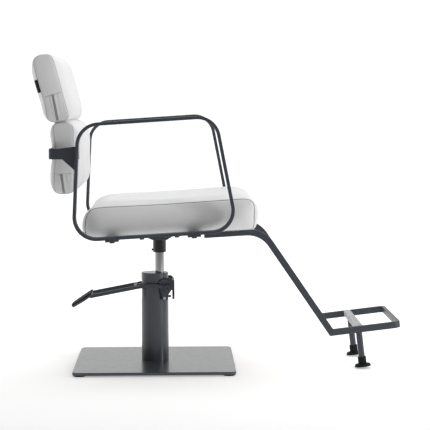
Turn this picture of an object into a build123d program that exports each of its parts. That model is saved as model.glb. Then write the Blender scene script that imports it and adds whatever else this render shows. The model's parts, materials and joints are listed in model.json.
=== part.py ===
# Styling chair: square base, foot-pumped lift, turning seat with loop armrests, two-cushion back, footrest.
# Millimetres. +X is the way the sitter faces, +Y the sitter's left, +Z up.
# The origin is on the floor under the middle of the pump.

from build123d import *
from math import atan, cos, radians, sin, sqrt
import os

os.makedirs("parts", exist_ok=True)

BOTH_SIDES = (-1, 1)


def save(piece, name):
    """Label a finished piece and write it to its own file."""
    piece.part.label = name
    export_step(piece.part, f"parts/{name}.step")


def side_plane(y_high):
    """Upright plane across the chair at y_high; a positive extrusion runs towards -Y."""
    return Plane.XZ.offset(-y_high)


def outer_y(side, near, far):
    """The larger Y of a slab between near and far from the middle, on one side of the chair."""
    return max(side * near, side * far)


# ---------------------------------------------------------------- base
glide_height = 4
glide_radius = 16.5
glide_offset = 205
glide_edge_radius = 1
base_side = 450
base_thickness = 8
base_corner_radius = 18
base_edge_radius = 1.5
base_top = glide_height + base_thickness

foot_bolt_radius = 4
foot_bolt_head_radius = 8
foot_bolt_circle = 24
foot_bolt_length = 18
foot_bolt_cone = foot_bolt_head_radius - foot_bolt_radius

with BuildPart() as base_plate:
    with BuildSketch(Plane.XY.offset(glide_height)):
        RectangleRounded(base_side, base_side, base_corner_radius)
    extrude(amount=base_thickness)
    fillet(base_plate.faces().sort_by(Axis.Z)[-1].edges(), base_edge_radius)
    with Locations(Location((0, 0, glide_height), (180, 0, 0))):
        with PolarLocations(foot_bolt_circle, 4, start_angle=45):
            CounterSinkHole(foot_bolt_radius, foot_bolt_head_radius, counter_sink_angle=90)
save(base_plate, "base_plate")

with BuildPart() as base_glides:
    with BuildSketch(Plane.XY):
        with GridLocations(2 * glide_offset, 2 * glide_offset, 2, 2):
            Circle(glide_radius)
    extrude(amount=glide_height)
    fillet(base_glides.faces().group_by(Axis.Z)[0].edges(), glide_edge_radius)
save(base_glides, "base_glides")

with BuildPart() as pump_foot_bolts:
    with BuildSketch(Plane.XY.offset(glide_height)):
        with PolarLocations(foot_bolt_circle, 4, start_angle=45):
            Circle(foot_bolt_radius)
    extrude(amount=foot_bolt_length)
    with Locations((0, 0, glide_height)):
        with PolarLocations(foot_bolt_circle, 4, start_angle=45):
            Cone(
                foot_bolt_head_radius,
                foot_bolt_radius,
                foot_bolt_cone,
                align=(Align.CENTER, Align.CENTER, Align.MIN),
            )
save(pump_foot_bolts, "pump_foot_bolts")

# ---------------------------------------------------------------- pump body
rod_x = 13.7
rod_radius = 13
running_gap = 0.05

reservoir_radius = 35
reservoir_wall = 2
reservoir_inner = reservoir_radius - reservoir_wall
foot_top = 26
reservoir_top = 160
spigot_height = 4
head_top = 196
boss_top = 250
boss_radius = 19

cylinder_radius = 18.5
bore_radius = 16
bush_bottom = 205
bush_top = 244

plunger_x = -20
plunger_radius = 6
plunger_bottom = 135
plunger_head_radius = 10
plunger_head_top = 218
plunger_head_thickness = 4
plunger_head_bottom = plunger_head_top - plunger_head_thickness
barrel_radius = 10
barrel_bottom = 112
barrel_floor = 116
spring_seat = 172
spring_pocket_radius = 11.5

release_y = 21
release_z = 191
release_body_radius = 4
release_body_back = -4
release_body_front = 26
release_pin_radius = 2.5
release_bore_depth = 22

plug_x = -14
plug_y = 24
plug_radius = 4
plug_head_radius = 5.5
plug_head_height = 5
plug_bottom = 188

with BuildPart() as pump_foot:
    with BuildSketch(Plane.XY.offset(base_top)):
        Circle(reservoir_radius)
    extrude(amount=foot_top - base_top)
    with BuildSketch(Plane.XY.offset(foot_top)):
        Circle(reservoir_inner)
    extrude(amount=spigot_height)
    with BuildSketch(Plane.XY.offset(base_top)):
        with PolarLocations(foot_bolt_circle, 4, start_angle=45):
            Circle(foot_bolt_radius)
    extrude(amount=foot_bolt_length - base_thickness, mode=Mode.SUBTRACT)
save(pump_foot, "pump_foot")

with BuildPart() as reservoir_tube:
    with BuildSketch(Plane.XY.offset(foot_top)):
        Circle(reservoir_radius)
        Circle(reservoir_inner, mode=Mode.SUBTRACT)
    extrude(amount=reservoir_top - foot_top)
save(reservoir_tube, "reservoir_tube")

with BuildPart() as inner_cylinder:
    with BuildSketch(Plane.XY.offset(foot_top + spigot_height)):
        with Locations((rod_x, 0)):
            Circle(cylinder_radius)
            Circle(bore_radius, mode=Mode.SUBTRACT)
    extrude(amount=reservoir_top - foot_top - spigot_height)
save(inner_cylinder, "inner_cylinder")

with BuildPart() as pump_head:
    with BuildSketch(Plane.XY.offset(reservoir_top)):
        Circle(reservoir_radius)
    extrude(amount=head_top - reservoir_top)
    with BuildSketch(Plane.XY.offset(head_top)):
        with Locations((rod_x, 0)):
            Circle(boss_radius)
    extrude(amount=boss_top - head_top)
    with BuildSketch(Plane.XY.offset(barrel_bottom)):
        with Locations((plunger_x, 0)):
            Circle(barrel_radius)
    extrude(amount=reservoir_top - barrel_bottom)
    with BuildSketch(Plane.XY.offset(reservoir_top)):
        with Locations((rod_x, 0)):
            Circle(bore_radius)
    extrude(amount=boss_top - reservoir_top, mode=Mode.SUBTRACT)
    with BuildSketch(Plane.XY.offset(barrel_floor)):
        with Locations((plunger_x, 0)):
            Circle(plunger_radius + running_gap)
    extrude(amount=head_top - barrel_floor, mode=Mode.SUBTRACT)
    with BuildSketch(Plane.XY.offset(spring_seat)):
        with Locations((plunger_x, 0)):
            Circle(spring_pocket_radius)
    extrude(amount=head_top - spring_seat, mode=Mode.SUBTRACT)
    with BuildSketch(Plane.YZ.offset(release_body_back)):
        with Locations((release_y, release_z)):
            Circle(release_body_radius)
    extrude(amount=reservoir_radius - release_body_back, mode=Mode.SUBTRACT)
    with BuildSketch(Plane.XY.offset(plug_bottom)):
        with Locations((plug_x, plug_y)):
            Circle(plug_radius)
    extrude(amount=head_top - plug_bottom, mode=Mode.SUBTRACT)
save(pump_head, "pump_head")

with BuildPart() as guide_bush:
    with BuildSketch(Plane.XY.offset(bush_bottom)):
        with Locations((rod_x, 0)):
            Circle(bore_radius)
            Circle(rod_radius + running_gap, mode=Mode.SUBTRACT)
    extrude(amount=bush_top - bush_bottom)
save(guide_bush, "guide_bush")

with BuildPart() as rod_wiper:
    with BuildSketch(Plane.XY.offset(bush_top)):
        with Locations((rod_x, 0)):
            Circle(bore_radius)
            Circle(rod_radius + running_gap, mode=Mode.SUBTRACT)
    extrude(amount=boss_top - bush_top)
save(rod_wiper, "rod_wiper")

foot_valve_height = 8
foot_valve_radius = 8
with BuildPart() as foot_valve:
    with BuildSketch(Plane.XY.offset(barrel_bottom - foot_valve_height)):
        with Locations((plunger_x, 0)):
            RegularPolygon(foot_valve_radius, 6)
    extrude(amount=foot_valve_height)
save(foot_valve, "foot_valve")

with BuildPart() as release_valve_body:
    with BuildSketch(Plane.YZ.offset(release_body_back)):
        with Locations((release_y, release_z)):
            Circle(release_body_radius)
    extrude(amount=release_body_front - release_body_back)
    with BuildSketch(Plane.YZ.offset(release_body_front)):
        with Locations((release_y, release_z)):
            Circle(release_pin_radius + running_gap)
    extrude(amount=-release_bore_depth, mode=Mode.SUBTRACT)
save(release_valve_body, "release_valve_body")

with BuildPart() as oil_filler_plug:
    with BuildSketch(Plane.XY.offset(plug_bottom)):
        with Locations((plug_x, plug_y)):
            Circle(plug_radius)
    extrude(amount=head_top - plug_bottom)
    with BuildSketch(Plane.XY.offset(head_top)):
        with Locations((plug_x, plug_y)):
            RegularPolygon(plug_head_radius, 6)
    extrude(amount=plug_head_height)
save(oil_filler_plug, "oil_filler_plug")

# ---------------------------------------------------------------- pump cover
cover_radius = 38.8
cover_inner = 36.3
cover_top = 255
cap_height = 8.5
cap_lip = 4
cap_edge_radius = 1
cap_rod_gap = 0.5
window_half_width = 10
window_bottom = 188
window_top = 244
window_corner_radius = 4
release_hole_radius = 5.5
release_hole_start = 10

with BuildPart() as pump_cover:
    with BuildSketch(Plane.XY.offset(base_top)):
        Circle(cover_radius)
        Circle(cover_inner, mode=Mode.SUBTRACT)
    extrude(amount=cover_top - base_top)
    with BuildSketch(Plane.YZ.offset(-cover_radius - 1)):
        with Locations((0, (window_bottom + window_top) / 2)):
            RectangleRounded(2 * window_half_width, window_top - window_bottom, window_corner_radius)
    extrude(amount=cover_radius, mode=Mode.SUBTRACT)
    with BuildSketch(Plane.YZ.offset(release_hole_start)):
        with Locations((release_y, release_z)):
            Circle(release_hole_radius)
    extrude(amount=cover_radius, mode=Mode.SUBTRACT)
save(pump_cover, "pump_cover")

with BuildPart() as cover_cap:
    with BuildSketch(Plane.XY.offset(cover_top)):
        Circle(cover_radius)
    extrude(amount=cap_height)
    fillet(cover_cap.faces().sort_by(Axis.Z)[-1].edges(), cap_edge_radius)
    with BuildSketch(Plane.XY.offset(cover_top - cap_lip)):
        Circle(cover_inner)
    extrude(amount=cap_lip)
    with BuildSketch(Plane.XY.offset(cover_top - cap_lip)):
        with Locations((rod_x, 0)):
            Circle(rod_radius + cap_rod_gap)
    extrude(amount=cap_lip + cap_height, mode=Mode.SUBTRACT)
save(cover_cap, "cover_cap")

# ---------------------------------------------------------------- pedal bearings
pivot_x = 36.3
pivot_z = 223.5
bracket_near = 38.9
bracket_far = 42.3
lug_bottom = 188
lug_top = 211
lug_back = 22
lug_front = 37.4
lug_inner = 20
bracket_outline = (
    (12, 241),
    (24, 247),
    (37, 246),
    (47, 234),
    (47, 215),
    (lug_front, 201),
    (lug_front, lug_bottom),
    (lug_back, lug_bottom),
    (15, 215),
)
bracket_corner_radius = 2.5
pivot_bolt_radius = 5
bracket_screw_x = 28
bracket_screw_z = 193
bracket_screw_radius = 2.5
bracket_screw_head_radius = 4
bracket_screw_head_height = 3
bracket_screw_inner = 34
hex_recess_share = 0.45

for side, side_name in zip(BOTH_SIDES, ("right", "left")):
    with BuildPart() as pivot_bracket:
        with BuildSketch(side_plane(outer_y(side, bracket_near, bracket_far))) as bracket_side:
            Polygon(*bracket_outline, align=None)
            fillet(bracket_side.vertices(), bracket_corner_radius)
            with Locations((pivot_x, pivot_z)):
                Circle(pivot_bolt_radius + running_gap, mode=Mode.SUBTRACT)
        extrude(amount=bracket_far - bracket_near)
        with BuildSketch(side_plane(outer_y(side, lug_inner, bracket_near))):
            with Locations(((lug_back + lug_front) / 2, (lug_bottom + lug_top) / 2)):
                Rectangle(lug_front - lug_back, lug_top - lug_bottom)
        extrude(amount=bracket_near - lug_inner)
        Cylinder(cover_radius, 2 * cover_top, mode=Mode.SUBTRACT)
        with BuildSketch(Plane.YZ.offset(release_hole_start)):
            with Locations((release_y, release_z)):
                Circle(release_hole_radius)
        extrude(amount=cover_radius, mode=Mode.SUBTRACT)
        with BuildSketch(side_plane(outer_y(side, bracket_screw_inner, bracket_far))):
            with Locations((bracket_screw_x, bracket_screw_z)):
                Circle(bracket_screw_radius)
        extrude(amount=bracket_far - bracket_screw_inner, mode=Mode.SUBTRACT)
    save(pivot_bracket, f"pivot_bracket_{side_name}")

with BuildPart() as bracket_screws:
    for side in BOTH_SIDES:
        with BuildSketch(side_plane(outer_y(side, bracket_screw_inner, bracket_far))):
            with Locations((bracket_screw_x, bracket_screw_z)):
                Circle(bracket_screw_radius)
        extrude(amount=bracket_far - bracket_screw_inner)
        with BuildSketch(side_plane(outer_y(side, bracket_far, bracket_far + bracket_screw_head_height))):
            with Locations((bracket_screw_x, bracket_screw_z)):
                Circle(bracket_screw_head_radius)
                RegularPolygon(hex_recess_share * bracket_screw_head_radius, 6, mode=Mode.SUBTRACT)
        extrude(amount=bracket_screw_head_height)
    Cylinder(cover_radius, 2 * cover_top, mode=Mode.SUBTRACT)
save(bracket_screws, "bracket_screws")

# ---------------------------------------------------------------- pedal
arm_near = 43
arm_far = 50
arm_height = 10
ear_radius = 10
arm_path = (
    (pivot_x, pivot_z),
    (0, 229.5),
    (-40, 227),
    (-184, 199.4),
)
pad_slope = radians(33)
pad_plane = Plane(
    origin=(-182, 0, 210),
    x_dir=(-cos(pad_slope), 0, -sin(pad_slope)),
    z_dir=(-sin(pad_slope), 0, cos(pad_slope)),
)
pad_up = Axis(pad_plane.origin, pad_plane.z_dir)
pad_length = 68
pad_thickness = 10
pad_rubber = 4
pad_tip_half_width = 30
pad_outline = (
    (0, -arm_far),
    (pad_length / 2, -arm_far),
    (pad_length, -pad_tip_half_width),
    (pad_length, pad_tip_half_width),
    (pad_length / 2, arm_far),
    (0, arm_far),
)
pad_corner_radius = 16
pad_edge_radius = 2.5
arm_bend_radius = 60

with BuildPart() as pedal_fork:
    for side in BOTH_SIDES:
        with BuildSketch(side_plane(outer_y(side, arm_near, arm_far))):
            with BuildLine():
                FilletPolyline(*arm_path, radius=arm_bend_radius)
            trace(line_width=arm_height)
            with Locations((pivot_x, pivot_z)):
                Circle(ear_radius)
                Circle(pivot_bolt_radius, mode=Mode.SUBTRACT)
        extrude(amount=arm_far - arm_near)
    with BuildSketch(pad_plane.offset(-pad_thickness)) as pad_shape:
        Polygon(*pad_outline, align=None)
        fillet(pad_shape.vertices().group_by(Axis.X)[-1], pad_corner_radius)
    extrude(amount=pad_thickness - pad_rubber)
save(pedal_fork, "pedal_fork")

with BuildPart() as pedal_pad:
    with BuildSketch(pad_plane.offset(-pad_rubber)) as rubber_shape:
        Polygon(*pad_outline, align=None)
        fillet(rubber_shape.vertices().group_by(Axis.X)[-1], pad_corner_radius)
    extrude(amount=pad_rubber)
    fillet(pedal_pad.faces().sort_by(pad_up)[-1].edges(), pad_edge_radius)
    add(pedal_fork.part, mode=Mode.SUBTRACT)
save(pedal_pad, "pedal_pad")

crossbar_z = 224.5
crossbar_back = -60
crossbar_front_edge = -50
crossbar_corner_radius = 2
finger_z = 226.5
finger_height = 8
finger_half_width = 5
finger_overrun = 6
nose_radius = 7
nose_gap = 0.3
nose_z = plunger_head_top + nose_gap + nose_radius

with BuildPart() as drive_finger:
    with BuildSketch(side_plane(arm_near)):
        with Locations(((crossbar_back + crossbar_front_edge) / 2, crossbar_z)):
            RectangleRounded(crossbar_front_edge - crossbar_back, arm_height, crossbar_corner_radius)
    extrude(amount=2 * arm_near)
    with BuildSketch(side_plane(finger_half_width)):
        with Locations(((crossbar_front_edge + plunger_x) / 2, finger_z)):
            Rectangle(plunger_x - crossbar_front_edge + finger_overrun, finger_height)
        with Locations((plunger_x, nose_z)):
            Circle(nose_radius)
    extrude(amount=2 * finger_half_width)
save(drive_finger, "drive_finger")

cheek_near = 32
cheek_far = 37
tongue_half_width = 25
tongue_bottom = 188
tongue_thickness = 6.5
tongue_outer_x = 56
tongue_x = tongue_outer_x - tongue_thickness / 2
bridge_top = 250
bridge_corner_radius = 5
tongue_path = (
    (tongue_x, tongue_bottom),
    (tongue_x, 240),
    (48.5, 243.4),
)
tongue_bend_radius = 4
cheek_outline = (
    (28, 228),
    (33, 245),
    (37, bridge_top),
    (47, bridge_top),
    (tongue_outer_x, 240),
    (tongue_outer_x, 215),
    (44, 215),
)

with BuildPart() as pedal_bridge:
    for side in BOTH_SIDES:
        with BuildSketch(side_plane(outer_y(side, cheek_near, cheek_far))) as cheek:
            Polygon(*cheek_outline, align=None)
            fillet(cheek.vertices().filter_by_position(Axis.Y, 239, bridge_top + 1), bridge_corner_radius)
            with Locations((pivot_x, pivot_z)):
                Circle(ear_radius)
                Circle(pivot_bolt_radius, mode=Mode.SUBTRACT)
        extrude(amount=cheek_far - cheek_near)
    with BuildSketch(side_plane(cheek_far)):
        with BuildLine():
            FilletPolyline(*tongue_path, radius=tongue_bend_radius)
        trace(line_width=tongue_thickness)
    extrude(amount=2 * cheek_far)
    for side in BOTH_SIDES:
        with BuildSketch(Plane.YZ.offset(tongue_x - tongue_thickness)):
            Polygon(
                (side * tongue_half_width, tongue_bottom - 1),
                (side * (tongue_half_width + 1), 200),
                (side * (cheek_far + 1), 214),
                (side * (cheek_far + 1), tongue_bottom - 1),
                align=None,
            )
        extrude(amount=2 * tongue_thickness, mode=Mode.SUBTRACT)
save(pedal_bridge, "pedal_bridge")

bolt_head_thickness = 4
pivot_head_radius = 8
with BuildPart() as pivot_bolts:
    for side in BOTH_SIDES:
        with BuildSketch(side_plane(outer_y(side, cheek_near, arm_far))):
            with Locations((pivot_x, pivot_z)):
                Circle(pivot_bolt_radius)
        extrude(amount=arm_far - cheek_near)
        with BuildSketch(side_plane(outer_y(side, arm_far, arm_far + bolt_head_thickness))):
            with Locations((pivot_x, pivot_z)):
                Circle(pivot_head_radius)
                RegularPolygon(hex_recess_share * pivot_head_radius, 6, mode=Mode.SUBTRACT)
        extrude(amount=bolt_head_thickness)
save(pivot_bolts, "pivot_bolts")

# ---------------------------------------------------------------- plunger and release pin
plunger_wire = 0.9
with BuildPart() as pump_plunger:
    with BuildSketch(Plane.XY.offset(plunger_bottom)):
        with Locations((plunger_x, 0)):
            Circle(plunger_radius)
    extrude(amount=plunger_head_bottom - plunger_bottom)
    with BuildSketch(Plane.XY.offset(plunger_head_bottom)):
        with Locations((plunger_x, 0)):
            Circle(plunger_head_radius)
    extrude(amount=plunger_head_thickness)
save(pump_plunger, "pump_plunger")

plunger_coil_radius = 8.8
plunger_coil_turns = 6
plunger_coil_length = plunger_head_bottom - spring_seat - 2 * plunger_wire
with BuildPart() as plunger_spring:
    with BuildLine():
        Helix(
            plunger_coil_length / plunger_coil_turns,
            plunger_coil_length,
            plunger_coil_radius,
            center=(plunger_x, 0, spring_seat + plunger_wire),
        )
    coil_start = (plunger_x + plunger_coil_radius, 0, spring_seat + plunger_wire)
    with BuildSketch(Plane(origin=coil_start, z_dir=(0, 1, 0))):
        Circle(plunger_wire)
    sweep(is_frenet=True)
save(plunger_spring, "plunger_spring")

release_pin_front = 45.6
release_head_thickness = 4
release_head_back = release_pin_front - release_head_thickness
release_head_radius = 4
release_pin_back = 10
with BuildPart() as release_pin:
    with BuildSketch(Plane.YZ.offset(release_pin_back)):
        with Locations((release_y, release_z)):
            Circle(release_pin_radius)
    extrude(amount=release_head_back - release_pin_back)
    with BuildSketch(Plane.YZ.offset(release_head_back)):
        with Locations((release_y, release_z)):
            Circle(release_head_radius)
    extrude(amount=release_head_thickness)
save(release_pin, "release_pin")

release_wire = 0.4
release_coil_radius = 3.4
release_coil_turns = 7
release_coil_length = release_head_back - release_body_front - 2 * release_wire
with BuildPart() as release_spring:
    with BuildLine():
        Helix(
            release_coil_length / release_coil_turns,
            release_coil_length,
            release_coil_radius,
            center=(release_body_front + release_wire, release_y, release_z),
            direction=(1, 0, 0),
        )
    wire_start = release_spring.pending_edges[0] @ 0
    wire_heading = release_spring.pending_edges[0] % 0
    with BuildSketch(Plane(origin=wire_start, z_dir=wire_heading)):
        Circle(release_wire)
    sweep(is_frenet=True)
save(release_spring, "release_spring")

# ---------------------------------------------------------------- lift piston
cup_bottom = 32
piston_bottom = 38
piston_top = 50
washer_top = 52
spigot_radius = 6
cup_chamfer = 1.5
circlip_groove_radius = 5
circlip_bottom = 39.8
circlip_thickness = 1.2
circlip_radius = 8
circlip_recess_radius = 9
circlip_recess_depth = 4

with BuildPart() as piston_cup:
    with BuildSketch(Plane.XY.offset(cup_bottom)):
        with Locations((rod_x, 0)):
            Circle(bore_radius - running_gap)
    extrude(amount=piston_bottom - cup_bottom)
    chamfer(piston_cup.faces().sort_by(Axis.Z)[0].edges(), cup_chamfer)
save(piston_cup, "piston_cup")

with BuildPart() as piston_head:
    with BuildSketch(Plane.XY.offset(piston_bottom)):
        with Locations((rod_x, 0)):
            Circle(bore_radius - 2 * running_gap)
            Circle(spigot_radius + running_gap, mode=Mode.SUBTRACT)
    extrude(amount=piston_top - piston_bottom)
    with BuildSketch(Plane.XY.offset(piston_bottom)):
        with Locations((rod_x, 0)):
            Circle(circlip_recess_radius)
    extrude(amount=circlip_recess_depth, mode=Mode.SUBTRACT)
save(piston_head, "piston_head")

with BuildPart() as thrust_washer:
    with BuildSketch(Plane.XY.offset(piston_top)):
        with Locations((rod_x, 0)):
            Circle(rod_radius)
            Circle(spigot_radius + running_gap, mode=Mode.SUBTRACT)
    extrude(amount=washer_top - piston_top)
save(thrust_washer, "thrust_washer")

# ---------------------------------------------------------------- rod and seat socket
rod_top = 356
socket_radius = 19
socket_bottom = 321
socket_top = 360
socket_chamfer = 1
set_screw_z = 328
set_screw_radius = 3
set_screw_back = -9

with BuildPart() as piston_rod:
    with BuildSketch(Plane.XY.offset(washer_top)):
        with Locations((rod_x, 0)):
            Circle(rod_radius)
    extrude(amount=rod_top - washer_top)
    with BuildSketch(Plane.XY.offset(circlip_bottom - 1)):
        with Locations((rod_x, 0)):
            Circle(spigot_radius)
    extrude(amount=washer_top - circlip_bottom + 1)
    with BuildSketch(Plane.XY.offset(circlip_bottom)):
        with Locations((rod_x, 0)):
            Circle(spigot_radius)
            Circle(circlip_groove_radius, mode=Mode.SUBTRACT)
    extrude(amount=circlip_thickness, mode=Mode.SUBTRACT)
save(piston_rod, "piston_rod")

with BuildPart() as rod_circlip:
    with BuildSketch(Plane.XY.offset(circlip_bottom)):
        with Locations((rod_x, 0)):
            Circle(circlip_radius)
            Circle(circlip_groove_radius, mode=Mode.SUBTRACT)
        with Locations((rod_x + circlip_radius, 0)):
            Rectangle(circlip_radius, 3, mode=Mode.SUBTRACT)
    extrude(amount=circlip_thickness)
save(rod_circlip, "rod_circlip")

with BuildPart() as seat_socket:
    with BuildSketch(Plane.XY.offset(socket_bottom)):
        with Locations((rod_x, 0)):
            Circle(socket_radius)
    extrude(amount=socket_top - socket_bottom)
    chamfer(seat_socket.faces().sort_by(Axis.Z)[0].edges(), socket_chamfer)
    with BuildSketch(Plane.XY.offset(socket_bottom)):
        with Locations((rod_x, 0)):
            Circle(rod_radius)
    extrude(amount=rod_top - socket_bottom, mode=Mode.SUBTRACT)
    with BuildSketch(Plane.YZ.offset(rod_x - socket_radius - 1)):
        with Locations((0, set_screw_z)):
            Circle(set_screw_radius)
    extrude(amount=socket_radius, mode=Mode.SUBTRACT)
save(seat_socket, "seat_socket")

with BuildPart() as socket_set_screw:
    with BuildSketch(Plane.YZ.offset(set_screw_back)):
        with Locations((0, set_screw_z)):
            Circle(set_screw_radius)
    extrude(amount=rod_x - set_screw_back)
    with Locations((rod_x, 0, set_screw_z)):
        Cylinder(rod_radius, 4 * set_screw_radius, mode=Mode.SUBTRACT)
    with BuildSketch(Plane.YZ.offset(set_screw_back)):
        with Locations((0, set_screw_z)):
            RegularPolygon(hex_recess_share * set_screw_radius, 6)
    extrude(amount=set_screw_radius, mode=Mode.SUBTRACT)
save(socket_set_screw, "socket_set_screw")

# ---------------------------------------------------------------- seat frame, on the seat's sloping underside
seat_height = 388.95
seat_tilt = atan(0.0561)


def seat_point(along, rise):
    """Side-view X and Z of a point measured along and above the sloping underside of the seat."""
    x = along * cos(seat_tilt) - rise * sin(seat_tilt)
    z = seat_height + along * sin(seat_tilt) + rise * cos(seat_tilt)
    return (x, z)


seat_plane = Plane(
    origin=(0, 0, seat_height),
    x_dir=(cos(seat_tilt), 0, sin(seat_tilt)),
    z_dir=(-sin(seat_tilt), 0, cos(seat_tilt)),
)
seat_up = Axis(seat_plane.origin, seat_plane.z_dir)
crossbar_thickness = 5
crossbar_width = 36
crossbar_rear_x = -109
crossbar_front_x = 110
overall_half_width = 317
rail_top = -crossbar_thickness
rail_height = 13
rail_width = 25
rail_y = 42
wing_top = rail_top - rail_height
plate_thickness = 4
plate_half_width = 57
mount_bolt_xs = (-37, 63)
mount_bolt_radius = 4
mount_head_radius = 7
mount_head_height = 5
mount_head_fillet = 3
rail_length = 255
rail_middle_x = 0.5

wing_middle = wing_top - plate_thickness / 2
plate_path = (
    seat_point(-50, wing_middle),
    seat_point(-20, wing_middle),
    (-5, socket_top + plate_thickness / 2),
    (35, socket_top + plate_thickness / 2),
    seat_point(49, wing_middle),
    seat_point(75, wing_middle),
)

with BuildPart() as mount_plate:
    with BuildSketch(side_plane(plate_half_width)):
        with BuildLine():
            FilletPolyline(*plate_path, radius=4)
        trace(line_width=plate_thickness)
    extrude(amount=2 * plate_half_width)
    with BuildSketch(seat_plane.offset(wing_top - 2 * plate_thickness)):
        for bolt_x in mount_bolt_xs:
            with Locations((bolt_x, -rail_y), (bolt_x, rail_y)):
                Circle(mount_bolt_radius)
    extrude(amount=2 * plate_thickness, mode=Mode.SUBTRACT)
save(mount_plate, "mount_plate")

with BuildPart() as seat_rails:
    with BuildSketch(seat_plane.offset(wing_top)):
        with Locations((rail_middle_x, -rail_y), (rail_middle_x, rail_y)):
            Rectangle(rail_length, rail_width)
        for bolt_x in mount_bolt_xs:
            with Locations((bolt_x, -rail_y), (bolt_x, rail_y)):
                Circle(mount_bolt_radius, mode=Mode.SUBTRACT)
    extrude(amount=rail_height)
save(seat_rails, "seat_rails")

with BuildPart() as mount_bolts:
    with BuildSketch(seat_plane.offset(wing_top - plate_thickness)):
        for bolt_x in mount_bolt_xs:
            with Locations((bolt_x, -rail_y), (bolt_x, rail_y)):
                Circle(mount_bolt_radius)
    extrude(amount=plate_thickness + rail_height)
    with BuildSketch(seat_plane.offset(wing_top - plate_thickness - mount_head_height)):
        for bolt_x in mount_bolt_xs:
            with Locations((bolt_x, -rail_y), (bolt_x, rail_y)):
                Circle(mount_head_radius)
    extrude(amount=mount_head_height)
    fillet(mount_bolts.faces().group_by(seat_up)[0].edges(), mount_head_fillet)
save(mount_bolts, "mount_bolts")

arm_bar_near = 289
arm_bar_middle = (arm_bar_near + overall_half_width) / 2
arm_bolt_radius = 4
arm_bolt_head_radius = 7
arm_bolt_head_height = 4
arm_bolt_bite = 6
arm_bar = 9


def crossbar(x):
    """One flat bar across the chair under the seat, with a hole at each end for its armrest bolt."""
    with BuildPart() as bar:
        with BuildSketch(seat_plane.offset(-crossbar_thickness)):
            with Locations((x, 0)):
                Rectangle(crossbar_width, 2 * overall_half_width)
            with Locations((x, -arm_bar_middle), (x, arm_bar_middle)):
                Circle(arm_bolt_radius, mode=Mode.SUBTRACT)
        extrude(amount=crossbar_thickness)
    return bar


save(crossbar(crossbar_front_x), "crossbar_front")
save(crossbar(crossbar_rear_x), "crossbar_rear")

with BuildPart() as crossbar_bolts:
    for bolt_x in (crossbar_rear_x, crossbar_front_x):
        with BuildSketch(seat_plane.offset(-crossbar_thickness)):
            with Locations((bolt_x, -arm_bar_middle), (bolt_x, arm_bar_middle)):
                Circle(arm_bolt_radius)
        extrude(amount=crossbar_thickness + arm_bolt_bite)
        with BuildSketch(seat_plane.offset(-crossbar_thickness - arm_bolt_head_height)):
            with Locations((bolt_x, -arm_bar_middle), (bolt_x, arm_bar_middle)):
                Circle(arm_bolt_head_radius)
        extrude(amount=arm_bolt_head_height)
save(crossbar_bolts, "crossbar_bolts")

# ---------------------------------------------------------------- armrest loops
loop_corner_radius = 58
loop_edge_radius = 2
loop_seat_gap = 0.01
loop_corners = (
    (-196.3, 687.3),
    (166.4, 709.8),
    seat_point(225.6, arm_bar / 2 + loop_seat_gap),
    seat_point(-211.3, arm_bar / 2 + loop_seat_gap),
)

for side, side_name in zip(BOTH_SIDES, ("right", "left")):
    with BuildPart() as armrest_loop:
        with BuildSketch(side_plane(outer_y(side, arm_bar_near, overall_half_width))) as loop_shape:
            Polygon(*loop_corners, align=None)
            fillet(loop_shape.vertices(), loop_corner_radius)
            offset(amount=arm_bar / 2, mode=Mode.REPLACE)
            offset(amount=-arm_bar, mode=Mode.SUBTRACT)
        extrude(amount=overall_half_width - arm_bar_near)
        fillet(armrest_loop.faces().filter_by(Axis.Y).edges(), loop_edge_radius)
        with BuildSketch(seat_plane):
            for bolt_x in (crossbar_rear_x, crossbar_front_x):
                with Locations((bolt_x, side * arm_bar_middle)):
                    Circle(arm_bolt_radius)
        extrude(amount=arm_bolt_bite, mode=Mode.SUBTRACT)
    save(armrest_loop, f"armrest_loop_{side_name}")

# ---------------------------------------------------------------- back strap
strap_thickness = 6
strap_back = -277
strap_front = strap_back + strap_thickness
strap_bottom = 597
strap_rear_top = 625
strap_arm_top = 632
strap_arm_front = -195
strap_arm_y = arm_bar_near - strap_thickness / 2
strap_path_x = strap_back + strap_thickness / 2
strap_bend_radius = 12
strap_bolt_ys = (-100, 100)
strap_bolt_z = 611
strap_bolt_radius = 4
strap_bolt_head_radius = 8
strap_bolt_head_height = 4
strap_bolt_head_fillet = 2.5

with BuildPart() as back_strap:
    with BuildSketch(Plane.XY.offset(strap_bottom)):
        with BuildLine():
            FilletPolyline(
                (strap_arm_front, -strap_arm_y),
                (strap_path_x, -strap_arm_y),
                (strap_path_x, strap_arm_y),
                (strap_arm_front, strap_arm_y),
                radius=strap_bend_radius,
            )
        trace(line_width=strap_thickness)
    extrude(amount=strap_arm_top - strap_bottom)
    with BuildSketch(side_plane(overall_half_width)):
        Polygon(
            (strap_back - 1, strap_rear_top),
            (strap_back + 25, strap_rear_top),
            (strap_arm_front + 1, strap_arm_top),
            (strap_arm_front + 1, strap_arm_top + 1),
            (strap_back - 1, strap_arm_top + 1),
            align=None,
        )
    extrude(amount=2 * overall_half_width, mode=Mode.SUBTRACT)
    with BuildSketch(Plane.YZ.offset(strap_back)):
        for bolt_y in strap_bolt_ys:
            with Locations((bolt_y, strap_bolt_z)):
                Circle(strap_bolt_radius)
    extrude(amount=strap_thickness, mode=Mode.SUBTRACT)
save(back_strap, "back_strap")

gusset_thickness = 5
gusset_outline = (
    (-240, strap_bottom),
    (-197, strap_bottom),
    (-199, 566),
    (-206, 566),
)
with BuildPart() as strap_gussets:
    for side in BOTH_SIDES:
        with BuildSketch(side_plane(outer_y(side, arm_bar_near - gusset_thickness, arm_bar_near))):
            Polygon(*gusset_outline, align=None)
        extrude(amount=gusset_thickness)
save(strap_gussets, "strap_gussets")

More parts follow.
